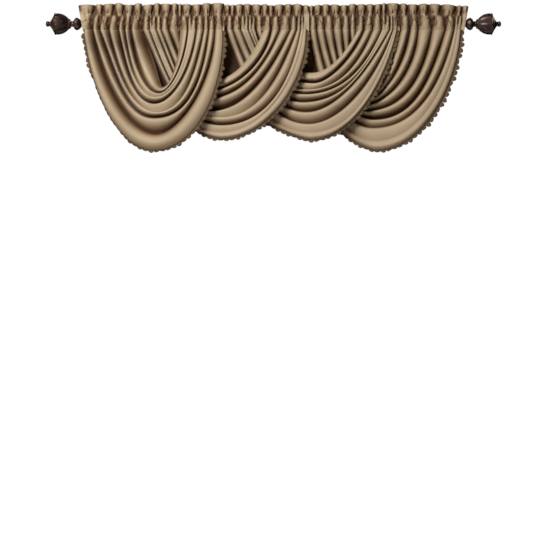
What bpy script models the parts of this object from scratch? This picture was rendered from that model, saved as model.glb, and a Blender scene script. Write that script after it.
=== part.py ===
"""Arch valance: four swags of gathered cloth that hang from one rod.

Each swag is one panel of cloth. Its top edge is gathered into a rod pocket in
two halves, and between them hangs the left half of the next swag, so that the
swags overlap from left to right. A scalloped braid is sewn behind each curved
hem, and an urn finial closes each end of the rod.

The origin is the middle of the rod's axis. X runs along the rod, -Y is the
room side and +Z is up. Sizes are millimetres, and a drop is measured down
from the rod's axis.
"""

import math
from collections import namedtuple

import bmesh
import bpy
import numpy as np

MM = 0.001
COLLECTION = "arch_valance"
FIT = 0.3
SEAT = 0.8

ROD_RADIUS = 14.0
ROD_SIDES = 16
FINIAL_FACE = 933.0
FINIAL_STEPS = 16

HEADING_TOP = 92.0
TOP_WAVE = 3.0
STITCH_LINE = 40.0
SEAM_DROP = 29.0
PUFF_WIDTH = 45.0
PUFF_DEPTH = 10.0
TUCK_DEPTH = 5.0
POCKET_HALF = 19.0
POCKET_BORE = 15.8
BORE_SIDES = 8
HEADING_GAP = 2.0
END_FLARE = 0.19

SHEET = 2.0
STATIONS = 24
STATION_EASE = 0.35
FOLD_SAMPLES = 3
CURVE_PULL = 0.52
GATHER_FRONT = -8.0
GATHER_DEPTH_HEM = 16.0
GATHER_DEPTH_NECK = 6.0
GATHER_DROP = 60.0
FRONT_LEFT = 8.0
FRONT_RIGHT = -34.0
LOW_CREST = 0.67
RIGHT_CREST = 0.5

SCALLOP_PITCH = 30.0
TRIM_INSET = 6.0
TRIM_REACH_LEFT = 18.0
TRIM_REACH_LOW = 12.0
TRIM_REACH_RIGHT = 22.0
TRIM_NOTCH = 0.6
TRIM_THICK = 2.5
TRIM_GAP = 0.9
TRIM_TOP_SHARE = 0.3
TRIM_BELOW_SEAM = 10.0

# A fold line runs from its left top down to its lowest point and up to its
# right top. The lines between the hem and the neckline are the valleys of the
# cloth, from the hem inwards. Lean is the sideways run for each unit of drop
# at the top. Depth is how far the line lies behind the fold crests, at the
# left, at the low point and at the right; a valley of depth 0 has closed, and
# its two folds are one. Pull is how far a side swings out at the foot.
Line = namedtuple(
    "Line",
    "left_x left_lean low_x low_drop right_lean right_x"
    " depth_left depth_low depth_right left_pull right_pull",
    defaults=(CURVE_PULL, CURVE_PULL),
)

# A swag turns from behind its left neighbour to in front of its right one
# between two shares of its length, given for the hem and for the neckline.
# A crest is the share of a fold's width at which its crest lies, for the fold
# at the neckline and for the left side of the others. Hem recess is how far
# the crest of the outermost fold lies back on the left side.
Swag = namedtuple(
    "Swag",
    "name hem_turn neck_turn neck_crest left_crest hem_recess left_trim_drop lines",
)

SWAGS = (
    Swag("swag_1", (0.35, 0.60), (0.12, 0.36), 0.2, 0.33, 0.0, 14.0, (
        #    left x  lean   low x  drop  lean   right x   depths   pulls
        Line(-919, 0.10, -574, 610, 0.04, -247, 14, 12, 5, 0.52, 0.59),
        Line(-872, 0.20, -567, 535, -0.04, -283, 34, 26, 32, 0.41, 0.38),
        Line(-839, 0.38, -575, 455, -0.11, -313, 34, 30, 32, 0.53, 0.69),
        Line(-794, 0.20, -563, 430, -0.18, -337, 32, 3, 30, 0.50, 0.58),
        Line(-747, 0.19, -577, 387, -0.10, -373, 34, 26, 32, 0.57, 0.44),
        Line(-717, 0.10, -568, 356, -0.08, -395, 26, 4, 0, 0.58, 0.50),
        Line(-689, 0.12, -553, 338, -0.07, -414, 34, 20, 34, 0.54, 0.41),
        Line(-650, 0.28, -547, 320, -0.06, -431, 2, 0, 0, 0.42, 0.46),
        Line(-636, 0.46, -536, 306, -0.01, -452, 34, 6, 12, 0.12, 0.47),
    )),
    Swag("swag_2", (0.38, 0.68), (0.49, 0.80), 0.4, 0.5, 44.0, 110.0, (
        Line(-640, -0.12, -247, 555, 0.02, 158, 52, 12, 5, 0.38, 0.51),
        Line(-632, 0.42, -252, 525, -0.10, 147, 44, 0, 0),
        Line(-599, 0.38, -250, 489, -0.17, 133, 32, 24, 12, 0.52, 0.60),
        Line(-588, 0.36, -250, 451, -0.38, 114, 0, 4, 30),
        Line(-567, 0.40, -296, 418, -0.47, 83, 32, 32, 34, 0.52, 0.43),
        Line(-543, 0.40, -332, 359, -0.42, 32, 32, 28, 32),
        Line(-509, 0.40, -315, 320, -0.14, -9, 32, 28, 32, 0.52, 0.46),
        Line(-459, 0.34, -332, 281, -0.40, -46, 30, 6, 6),
    )),
    Swag("swag_3", (0.32, 0.62), (0.36, 0.65), 0.5, 0.5, 24.0, 100.0, (
        Line(-245, -0.74, 185, 560, -0.21, 597, 34, 12, 5, 0.24, 0.45),
        Line(-226, 0.28, 180, 528, -0.30, 589, 32, 0, 0),
        Line(-196, 0.38, 174, 484, -0.33, 580, 32, 18, 30, 0.52, 0.38),
        Line(-158, 0.45, 162, 426, -0.56, 564, 32, 24, 28, 0.52, 0.35),
        Line(-138, 0.43, 148, 378, -0.52, 543, 0, 26, 0),
        Line(-121, 0.40, 162, 339, -0.42, 525, 32, 24, 30),
        Line(-104, 0.35, 169, 318, -0.42, 481, 6, 10, 32, 0.52, 0.53),
        Line(-87, 0.28, 202, 286, -0.42, 441, 32, 30, 34, 0.52, 0.28),
        Line(-51, 0.20, 191, 237, -0.49, 409, 14, 6, 6, 0.52, 0.38),
    )),
    Swag("swag_4", (0.35, 0.70), (0.60, 0.95), 0.45, 0.5, 24.0, 100.0, (
        Line(163, -0.42, 502, 610, -0.08, 907, 34, 12, 6, 0.32),
        Line(175, 0.10, 497, 567, -0.12, 890, 32, 0, 0),
        Line(210, 0.18, 486, 502, -0.24, 877, 32, 18, 28, 0.52, 0.57),
        Line(248, 0.20, 490, 461, -0.34, 835, 32, 32, 34, 0.52, 0.61),
        Line(290, 0.16, 450, 418, -0.19, 769, 34, 24, 34, 0.52, 0.64),
        Line(333, 0.10, 424, 391, -0.09, 701, 32, 26, 34, 0.52, 0.56),
        Line(369, 0.06, 420, 374, -0.16, 664, 30, 22, 28, 0.52, 0.47),
        Line(400, 0.12, 440, 350, -0.36, 612, 14, 6, 44),
    )),
)

# The heading halves in their order on the rod, each with its left and right end.
Half = namedtuple("Half", "name left right")

HEADINGS = (
    Half("heading_1_left", -924, -637),
    Half("heading_2_left", -637, -462),
    Half("heading_1_right", -462, -238),
    Half("heading_3_left", -238, -57),
    Half("heading_2_right", -57, 173),
    Half("heading_4_left", 173, 402),
    Half("heading_3_right", 402, 612),
    Half("heading_4_right", 612, 924),
)

# The finial's profile: distance from its inner face, and radius.
FINIAL_PROFILE = (
    (0, 0), (0, 18), (6, 24), (21, 30.5), (31, 25), (36, 14.5), (48, 14),
    (52, 23), (58, 25), (70, 35.5), (86, 46), (104, 51), (122, 52), (126, 53),
    (129, 46), (137, 31), (149, 13), (155, 11), (162, 14), (169, 9), (171, 0),
)


def smooth(share):
    """Ease a share from 0 to 1, with its ends clamped."""
    share = np.clip(share, 0.0, 1.0)
    return share * share * (3.0 - 2.0 * share)


def mix(first, second, share):
    """Blend two values by a share."""
    return first + (second - first) * share


def half_curve(top_x, lean, low_x, low_drop, pull, t):
    """Return x and drop of a cubic from a top end, t = 0, to the low point."""
    height = low_drop - SEAM_DROP
    xs = (
        top_x,
        top_x + CURVE_PULL * lean * height,
        low_x + pull * (top_x - low_x),
        low_x,
    )
    drops = (SEAM_DROP, SEAM_DROP + CURVE_PULL * height, low_drop, low_drop)
    weights = (
        (1 - t) ** 3,
        3 * t * (1 - t) ** 2,
        3 * t * t * (1 - t),
        t**3,
    )
    return (
        sum(w * x for w, x in zip(weights, xs)),
        sum(w * d for w, d in zip(weights, drops)),
    )


def line_path(line, s):
    """Return x and drop along a fold line, s running from 0 to 1."""
    left = half_curve(
        line.left_x, line.left_lean, line.low_x, line.low_drop, line.left_pull, 2 * s
    )
    right = half_curve(
        line.right_x, line.right_lean, line.low_x, line.low_drop, line.right_pull, 2 * (1 - s)
    )
    on_left = s <= 0.5
    return (
        np.where(on_left, left[0], right[0]),
        np.where(on_left, left[1], right[1]),
    )


def below_gathers(drop):
    """Return 0 at the seam and 1 where the folds hang free of the gathers."""
    return smooth((drop - SEAM_DROP) / GATHER_DROP)


def low_share(s):
    """Return 1 at a line's low point and 0 at its two tops."""
    return smooth(1 - np.abs(2 * s - 1))


def gathered(hung, across, drop):
    """Return a depth that is kept small at the seam, less so at the hem."""
    most = mix(GATHER_DEPTH_HEM, GATHER_DEPTH_NECK, across)
    return mix(np.minimum(hung, most), hung, below_gathers(drop))


def line_depth(line, across, s, drop):
    """Return how far a fold line lies behind the crests along its length."""
    side = np.where(s <= 0.5, line.depth_left, line.depth_right)
    return gathered(mix(side, line.depth_low, low_share(s)), across, drop)


def crest_depth(recess, across, s, drop):
    """Return how far a crest lies back, which fades out towards the low point."""
    side = np.where(s <= 0.5, recess, 0.0)
    return gathered(side * (1 - low_share(s)), across, drop)


def front_depth(swag, across, s, drop):
    """Return y of the fold crests: 0 across is the hem and 1 the neckline."""
    start = mix(swag.hem_turn[0], swag.neck_turn[0], across)
    end = mix(swag.hem_turn[1], swag.neck_turn[1], across)
    hung = mix(FRONT_LEFT, FRONT_RIGHT, smooth((s - start) / (end - start)))
    return mix(GATHER_FRONT, hung, below_gathers(drop))


def crest_place(swag, index, s):
    """Return where a fold's crest lies between its outer line, 0, and its inner one, 1.

    The low part of a fold hangs over, so its crest is close to its upper edge.
    """
    if index == len(swag.lines) - 2:
        return swag.neck_crest
    side = np.where(s <= 0.5, swag.left_crest, RIGHT_CREST)
    return mix(side, LOW_CREST if index else RIGHT_CREST, low_share(s))


def valley_share(q):
    """Return 1 in a valley, where q = 0, falling to 0 at the crest, where q = 1."""
    return 1 - np.sin(0.5 * math.pi * np.clip(q, 0.0, 1.0))


def fold_point(swag, index, v, s):
    """Return xyz along the swag at a share v from one fold line to the next."""
    last = len(swag.lines) - 2
    share = 1 / (last + 1)
    outer = swag.lines[index]
    inner = swag.lines[index + 1]
    recess = swag.hem_recess * (index == 0)
    middle = crest_place(swag, index, s)
    outer_x, outer_drop = line_path(outer, s)
    inner_x, inner_drop = line_path(inner, s)
    drop = mix(outer_drop, inner_drop, v)
    crest = crest_depth(recess, (index + v) * share, s, drop)
    outer_depth = line_depth(outer, index * share, s, drop) - crest
    inner_depth = line_depth(inner, (index + 1) * share, s, drop) - crest
    from_outer = outer_depth * valley_share(v / middle)
    from_inner = inner_depth * valley_share((1 - v) / (1 - middle))
    front = front_depth(swag, (index + v) * share, s, drop)
    y = front + crest + from_outer + from_inner
    return np.stack((mix(outer_x, inner_x, v), y, -drop - SEAT), axis=-1)


def swag_stations():
    """Return the shares along the fold lines, closest at the tops and low point."""
    even = np.linspace(0.0, 1.0, STATIONS + 1)
    return even - STATION_EASE * np.sin(4 * math.pi * even) / (4 * math.pi)


def swag_points(swag, s, samples):
    """Return the swag's surface as an array: stations, points across, xyz."""
    folds = len(swag.lines) - 1
    places = [(index, step / samples) for index in range(folds) for step in range(samples)]
    places.append((folds - 1, 1.0))
    return np.stack([fold_point(swag, index, v, s) for index, v in places], axis=1)


def grid_mesh(name, points):
    """Make an open mesh from a grid of points in millimetres."""
    rows, columns = points.shape[:2]
    corner = np.arange(rows * columns).reshape(rows, columns)
    faces = np.stack(
        (corner[:-1, :-1], corner[:-1, 1:], corner[1:, 1:], corner[1:, :-1]), axis=-1
    )
    mesh = bpy.data.meshes.new(name)
    mesh.from_pydata((points * MM).reshape(-1, 3).tolist(), [], faces.reshape(-1, 4).tolist())
    return mesh


def lofted_solid(name, loops):
    """Make a closed mesh from rings of points, with a cap on each end."""
    rings, sides = loops.shape[:2]
    corner = np.arange(rings * sides).reshape(rings, sides)
    following = np.roll(corner, -1, axis=1)
    walls = np.stack((corner[:-1], following[:-1], following[1:], corner[1:]), axis=-1)
    faces = walls.reshape(-1, 4).tolist()
    faces.append(corner[0][::-1].tolist())
    faces.append(corner[-1].tolist())
    mesh = bpy.data.meshes.new(name)
    mesh.from_pydata((loops * MM).reshape(-1, 3).tolist(), [], faces)
    solid = bmesh.new()
    solid.from_mesh(mesh)
    bmesh.ops.recalc_face_normals(solid, faces=solid.faces)
    solid.to_mesh(mesh)
    solid.free()
    return mesh


def add_object(name, mesh, material, collection):
    """Put a mesh into the scene under its name, with its material."""
    part = bpy.data.objects.new(name, mesh)
    mesh.materials.append(material)
    collection.objects.link(part)
    return part


def make_material(name, colour, roughness, metallic):
    """Make a plain surface finish."""
    material = bpy.data.materials.new(name)
    material.use_nodes = True
    shader = material.node_tree.nodes["Principled BSDF"]
    shader.inputs["Base Color"].default_value = (*colour, 1.0)
    shader.inputs["Roughness"].default_value = roughness
    shader.inputs["Metallic"].default_value = metallic
    material.diffuse_color = (*colour, 1.0)
    return material


def cloth_material():
    """Tan gold woven cloth with a soft sheen."""
    return make_material("tan_cloth", (0.42, 0.31, 0.19), 0.75, 0.0)


def braid_material():
    """Darker brown gold braid."""
    return make_material("gold_braid", (0.20, 0.13, 0.07), 0.8, 0.0)


def bronze_material():
    """Dark brown painted bronze."""
    return make_material("dark_bronze", (0.035, 0.018, 0.015), 0.4, 0.6)


def build_swag(swag, material, collection):
    """Build one swag: a thin sheet laid over its fold lines."""
    mesh = grid_mesh(swag.name, swag_points(swag, swag_stations(), FOLD_SAMPLES))
    mesh.shade_smooth()
    part = add_object(swag.name, mesh, material, collection)
    thick = part.modifiers.new("cloth", "SOLIDIFY")
    thick.thickness = SHEET * MM
    thick.offset = 0.0
    return part


def heading_stations(half):
    """Return x and the puff share, 0 at a pinch and 1 on a puff, of each station."""
    left = half.left + HEADING_GAP / 2
    right = half.right - HEADING_GAP / 2
    puffs = round((right - left) / PUFF_WIDTH)
    shares = [(puff + place, place > 0) for puff in range(puffs) for place in (0, 0.3, 0.7)]
    shares.append((puffs, False))
    return [(mix(left, right, share / puffs), float(puffed)) for share, puffed in shares]


def heading_ring(x, puffed):
    """Return the y and z outline of a heading at one station."""
    top = HEADING_TOP + TOP_WAVE * math.sin(x / 37.0) * math.cos(x / 91.0)
    puff = PUFF_DEPTH * puffed
    bulge = POCKET_HALF + TUCK_DEPTH * puffed
    return (
        (-4 - puff, top - 3 * (1 - puffed)),
        (-4 - puff, mix(STITCH_LINE, top, 0.45)),
        (-4 - 2 * puffed, STITCH_LINE),
        (-bulge, 12),
        (-bulge, -16),
        (-5 - 3 * puffed, -SEAM_DROP),
        (6 + 2 * puffed, -SEAM_DROP),
        (POCKET_HALF + 1, 0),
        (4 + puffed, STITCH_LINE),
        (4 + puff / 2, top - 3 * (1 - puffed)),
    )


def heading_loops(half):
    """Return the rings of a heading half, flared outwards at the rod's two ends."""
    rod_ends = (HEADINGS[0].left, HEADINGS[-1].right)
    loops = []
    for x, puffed in heading_stations(half):
        flare = 0.0
        for end in rod_ends:
            near = 1 - abs(x - end) / (1.5 * PUFF_WIDTH)
            flare += math.copysign(END_FLARE * max(near, 0.0), end)
        ring = heading_ring(x, puffed)
        loops.append([(x + flare * (z + SEAM_DROP), y, z) for y, z in ring])
    return np.array(loops)


def bore_cutter(half, cutters):
    """Make the cutter that opens a heading's pocket for the rod."""
    tool = bmesh.new()
    bmesh.ops.create_cone(
        tool,
        cap_ends=True,
        segments=BORE_SIDES,
        radius1=POCKET_BORE * MM,
        radius2=POCKET_BORE * MM,
        depth=(half.right - half.left + 60) * MM,
    )
    mesh = bpy.data.meshes.new(half.name + "_bore")
    tool.to_mesh(mesh)
    tool.free()
    cutter = bpy.data.objects.new(mesh.name, mesh)
    cutter.location.x = (half.left + half.right) / 2 * MM
    cutter.rotation_euler.y = math.pi / 2
    cutter.hide_render = True
    cutter.display_type = "WIRE"
    cutters.objects.link(cutter)
    return cutter


def build_heading(half, material, collection, cutters):
    """Build one heading half: ruffle, stitch line and rod pocket in one solid."""
    mesh = lofted_solid(half.name, heading_loops(half))
    part = add_object(half.name, mesh, material, collection)
    bore = part.modifiers.new("pocket", "BOOLEAN")
    bore.operation = "DIFFERENCE"
    bore.object = bore_cutter(half, cutters)
    return part


def hem_path(swag):
    """Return the braid's stations along the hem: x, y, z and its reach."""
    stations = swag_stations()
    hem = fold_point(swag, 0, 0.0, stations)
    s = np.linspace(0.0, 1.0, 401)
    points = np.stack([np.interp(s, stations, hem[:, axis]) for axis in range(3)], axis=-1)
    side = smooth(np.abs(2 * s - 1) / 0.6)
    end = np.where(s < 0.5, TRIM_REACH_LEFT, TRIM_REACH_RIGHT)
    top = mix(TRIM_TOP_SHARE, 1.0, below_gathers(-points[:, 2]))
    points = np.column_stack((points, mix(TRIM_REACH_LOW, end, side) * top))
    starts = np.where(s < 0.5, swag.left_trim_drop, TRIM_BELOW_SEAM)
    points = points[-points[:, 2] > SEAM_DROP + starts]
    steps = np.diff(points[:, [0, 2]], axis=0)
    run = np.concatenate(([0.0], np.cumsum(np.hypot(steps[:, 0], steps[:, 1]))))
    places = np.linspace(0.0, run[-1], 2 * round(run[-1] / SCALLOP_PITCH) + 1)
    return np.stack([np.interp(places, run, column) for column in points.T], axis=-1)


def build_trim(swag, material, collection):
    """Build the scalloped braid behind one hem, a strip with points along its edge."""
    path = hem_path(swag)
    hem = path[:, :3]
    along = np.gradient(hem, axis=0)
    outward = np.stack((along[:, 2], np.zeros(len(hem)), -along[:, 0]), axis=-1)
    outward /= np.linalg.norm(outward, axis=1)[:, None]
    notch = np.where(np.arange(len(hem)) % 2 == 0, TRIM_NOTCH, 1.0)
    inner = hem - TRIM_INSET * outward
    outer = hem + (path[:, 3] * notch)[:, None] * outward
    front = np.array((0.0, SHEET / 2 + TRIM_GAP, 0.0))
    back = front + (0.0, TRIM_THICK, 0.0)
    loops = np.stack((inner + front, outer + front, outer + back, inner + back), axis=1)
    name = swag.name.replace("swag", "trim")
    return add_object(name, lofted_solid(name, loops), material, collection)


def build_rod(material, collection):
    """Build the rod between the two finials."""
    tool = bmesh.new()
    bmesh.ops.create_cone(
        tool,
        cap_ends=True,
        segments=ROD_SIDES,
        radius1=ROD_RADIUS * MM,
        radius2=ROD_RADIUS * MM,
        depth=2 * (FINIAL_FACE - FIT) * MM,
    )
    mesh = bpy.data.meshes.new("rod")
    tool.to_mesh(mesh)
    tool.free()
    mesh.shade_smooth()
    mesh.set_sharp_from_angle(angle=math.radians(40))
    rod = add_object("rod", mesh, material, collection)
    rod.rotation_euler.y = math.pi / 2
    return rod


def build_finial(name, side, material, collection):
    """Build one urn finial, turned about the rod's axis."""
    mesh = bpy.data.meshes.new(name)
    outline = [(radius * MM, 0.0, -away * MM) for away, radius in FINIAL_PROFILE]
    edges = [(index, index + 1) for index in range(len(outline) - 1)]
    mesh.from_pydata(outline, edges, [])
    part = add_object(name, mesh, material, collection)
    turn = part.modifiers.new("turned", "SCREW")
    turn.steps = FINIAL_STEPS
    turn.render_steps = FINIAL_STEPS
    turn.use_merge_vertices = True
    turn.merge_threshold = 0.00001
    turn.use_smooth_shade = True
    part.location.x = side * FINIAL_FACE * MM
    part.rotation_euler.y = -side * math.pi / 2
    return part


def clear_scene():
    """Remove every object of the open file."""
    for item in list(bpy.data.objects):
        bpy.data.objects.remove(item, do_unlink=True)


def new_collection(name):
    """Make a collection in the scene."""
    collection = bpy.data.collections.new(name)
    bpy.context.scene.collection.children.link(collection)
    return collection


def main():
    clear_scene()
    parts = new_collection(COLLECTION)
    cutters = new_collection("cutters")
    cloth = cloth_material()
    braid = braid_material()
    bronze = bronze_material()
    build_rod(bronze, parts)
    build_finial("finial_left", -1, bronze, parts)
    build_finial("finial_right", 1, bronze, parts)
    for half in HEADINGS:
        build_heading(half, cloth, parts, cutters)
    for swag in SWAGS:
        build_swag(swag, cloth, parts)
        build_trim(swag, braid, parts)


main()
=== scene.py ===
"""Looks of the arch valance: four gathered swags of cloth on one rod.

Each swag is a thin sheet laid over the fold lines of its solid. Its heading is
gathered in halves, each a ruffle above a stitch line and a rod pocket. A
scalloped braid edges every hem, and a fluted urn closes each end of the rod.

X runs along the rod, -Y is the room side and +Z is up. Sizes are millimetres,
and a drop is measured down from the rod's axis. The cuts of the sheets, the
materials and the studio are in metres.
"""

import logging
import math
from dataclasses import astuple, dataclass, fields
from enum import Enum
from typing import Sequence

import bpy
import numpy as np
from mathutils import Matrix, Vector
from numpy.typing import NDArray


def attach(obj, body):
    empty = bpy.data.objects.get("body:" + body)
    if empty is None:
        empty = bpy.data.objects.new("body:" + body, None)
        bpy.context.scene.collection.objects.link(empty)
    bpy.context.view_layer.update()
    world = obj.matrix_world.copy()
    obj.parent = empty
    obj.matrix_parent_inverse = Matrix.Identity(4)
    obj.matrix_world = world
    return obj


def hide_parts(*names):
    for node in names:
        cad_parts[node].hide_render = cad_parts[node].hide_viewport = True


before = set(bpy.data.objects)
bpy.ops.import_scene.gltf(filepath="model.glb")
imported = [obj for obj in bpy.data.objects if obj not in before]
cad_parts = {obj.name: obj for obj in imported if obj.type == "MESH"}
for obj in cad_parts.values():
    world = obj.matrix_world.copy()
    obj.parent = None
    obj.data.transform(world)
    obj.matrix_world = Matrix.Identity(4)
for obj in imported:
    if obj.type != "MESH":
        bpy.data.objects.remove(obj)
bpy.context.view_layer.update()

Array = NDArray[np.float64]
Triple = tuple[float, float, float]
Colour = Triple
Material = bpy.types.Material
Object = bpy.types.Object
Socket = bpy.types.NodeSocket
LOG = logging.getLogger("arch_valance")

MM = 0.001
SEAM_DROP = 29.0
# How far a cubic's inner knots lie from its ends, as a share of its height or width.
CURVE_PULL = 0.52
CLOTH_THICKNESS = 1.2
BRAID_THICKNESS = 1.6
# A point as deep as this behind the crests counts as wholly hollow, and gets the full painted shade.
PAINTED_SHADE_DEPTH = 28.0
ROD_RADIUS = 14.0
FINIAL_FACE = 933.0
# A wave texture of scale 1 repeats after this length.
WAVE_LENGTH = 0.314


class Slot(Enum):
    """Material slots of the record."""

    CLOTH = "cloth"
    BRAID = "braid"
    BRONZE = "bronze"


class Side(Enum):
    """Ends of the rod, and halves of a swag."""

    LEFT = "left"
    RIGHT = "right"


def smooth(share: Array | float) -> Array:
    """Ease a share from 0 to 1, with its ends clamped."""
    share = np.clip(share, 0.0, 1.0)
    return share * share * (3.0 - 2.0 * share)


def mix(first: Array | float, second: Array | float, share: Array | float) -> Array:
    """Blend two values by a share."""
    return first + (second - first) * share


def through(rows: Array, places: Array) -> Array:
    """Run a smooth curve through rows of values.

    The curve between two rows is a cubic whose slope at each row is half the
    change from the row before to the row after.

    Args:
        rows: One row of values for each whole place.
        places: Where to read the curve, from 0 to the last row's number.

    Returns:
        One row of values for each place.
    """
    last = len(rows) - 1
    base = np.clip(np.floor(places).astype(int), 0, last - 1)
    t = (places - base)[:, None]
    before = rows[np.maximum(base - 1, 0)]
    first, second = rows[base], rows[base + 1]
    after = rows[np.minimum(base + 2, last)]
    slope_first, slope_second = (second - before) / 2, (after - first) / 2
    return (
        (2 * t**3 - 3 * t**2 + 1) * first
        + (t**3 - 2 * t**2 + t) * slope_first
        + (3 * t**2 - 2 * t**3) * second
        + (t**3 - t**2) * slope_second
    )


@dataclass(frozen=True)
class Wave:
    """A slanted wave over the cloth: its strength times the sine of its angle.

    The angle is the place times the turns, in radians a millimetre, plus the
    seed times its share and the shift.
    """

    strength: float
    x_turn: float
    z_turn: float
    seed_share: float
    shift: float = 0.0

    def angle(self, x: Array, z: Array, seed: float) -> Array:
        """Return the wave's angle at each place."""
        return self.x_turn * x + self.z_turn * z + self.seed_share * seed + self.shift

    def height(self, x: Array, z: Array, seed: float) -> Array:
        """Return the wave's height at each place."""
        return self.strength * np.sin(self.angle(x, z, seed))


CREASE_SETS = (
    Wave(1.0, 0.105, 0.060, 1.105),
    Wave(1.0, 0.083, -0.052, 1.083, 1.9),
    Wave(0.7, 0.131, -0.021, 1.131, 4.1),
)
CREASE_BENDS = (Wave(0.7, 0.043, 0.0, 1.0), Wave(0.5, 0.019, 0.11, 0.0))
CREASE_PATCHES = Wave(0.45, 0.071, 0.05, 2.3)
CREASE_MEAN = 0.55
CREASE_SHARPNESS = 5


def creases(x: Array, z: Array, seed: float) -> Array:
    """Return narrow crossing creases, highest along their lines and 0 between them.

    A crease is one less the size of a sine, to a power that makes it narrow.
    Slow waves bend the lines, and another one makes them weaker in places.

    Args:
        x: Places along the rod.
        z: Heights above the rod's axis.
        seed: A number that shifts the pattern.

    Returns:
        How deep the creases are, as a share.
    """
    bend = sum(wave.height(x, z, seed) for wave in CREASE_BENDS)
    lines = [
        wave.strength * (1 - np.abs(np.sin(wave.angle(x, z, seed) + bend))) ** CREASE_SHARPNESS
        for wave in CREASE_SETS
    ]
    return (CREASE_MEAN + CREASE_PATCHES.height(x, z, seed)) * np.maximum.reduce(lines)


@dataclass(frozen=True)
class Line:
    """One fold line, from its left top down to its low point and up again.

    Lean is the sideways run for each unit of drop at the top, depth is how far
    the line lies behind the fold crests, and pull is how far a side swings out
    at the foot.
    """

    left_x: float
    left_lean: float
    low_x: float
    low_drop: float
    right_lean: float
    right_x: float
    depth_left: float
    depth_low: float
    depth_right: float
    left_pull: float = CURVE_PULL
    right_pull: float = CURVE_PULL

    def half(self, side: Side, t: Array) -> tuple[Array, Array]:
        """Return x and drop of one half, a cubic from its top end.

        The cubic's four knots are weighted by the powers of t and of its rest.

        Args:
            side: Which half it is.
            t: Shares from the top end, 0, to the low point, 1.

        Returns:
            The places along the rod and the drops.
        """
        on_left = side is Side.LEFT
        top_x = self.left_x if on_left else self.right_x
        lean = self.left_lean if on_left else self.right_lean
        pull = self.left_pull if on_left else self.right_pull
        height = self.low_drop - SEAM_DROP
        knots = np.array(
            (
                (top_x, SEAM_DROP),
                (top_x + CURVE_PULL * lean * height, SEAM_DROP + CURVE_PULL * height),
                (self.low_x + pull * (top_x - self.low_x), self.low_drop),
                (self.low_x, self.low_drop),
            )
        )
        weights = np.stack(((1 - t) ** 3, 3 * t * (1 - t) ** 2, 3 * t * t * (1 - t), t**3), axis=-1)
        path = weights @ knots
        return path[..., 0], path[..., 1]

    def path(self, s: Array) -> tuple[Array, Array]:
        """Return x and drop along the whole line.

        Args:
            s: Shares from the left top, 0, to the right top, 1.

        Returns:
            The places along the rod and the drops.
        """
        left = self.half(Side.LEFT, 2 * s)
        right = self.half(Side.RIGHT, 2 * (1 - s))
        on_left = s <= 0.5
        return np.where(on_left, left[0], right[0]), np.where(on_left, left[1], right[1])

    def hung_depth(self, s: Array) -> Array:
        """Return how far the free hanging line lies behind the crests."""
        side = np.where(s <= 0.5, self.depth_left, self.depth_right)
        return mix(side, self.depth_low, low_share(s))


def low_share(s: Array) -> Array:
    """Return 1 at the low point of a line and 0 at its two tops."""
    return smooth(1 - np.abs(2 * s - 1))


@dataclass(frozen=True)
class Hang:
    """How the cloth of every swag hangs.

    Gather front is y of the crests at the seam, gather depth how deep a valley
    is there at most and gather drop how soon the gathers open. Front is y of
    the crests at a swag's two ends, and a crest its share of a fold's width.
    Crowding draws the samples towards the valleys.
    """

    gather_front: float = -19.0
    gather_depth_hem: float = 24.0
    gather_depth_neck: float = 20.0
    gather_drop_hem: float = 120.0
    gather_drop_neck: float = 90.0
    front_left: float = 8.0
    front_right: float = -34.0
    seat: float = 0.4
    low_crest: float = 0.82
    right_crest: float = 0.5
    neck_power: float = 1.5
    neck_fall: float = 0.4
    steep: float = 0.5
    sloping: float = 1.4
    crowding: float = 0.55
    top_samples: int = 12


HANG = Hang()


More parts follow.
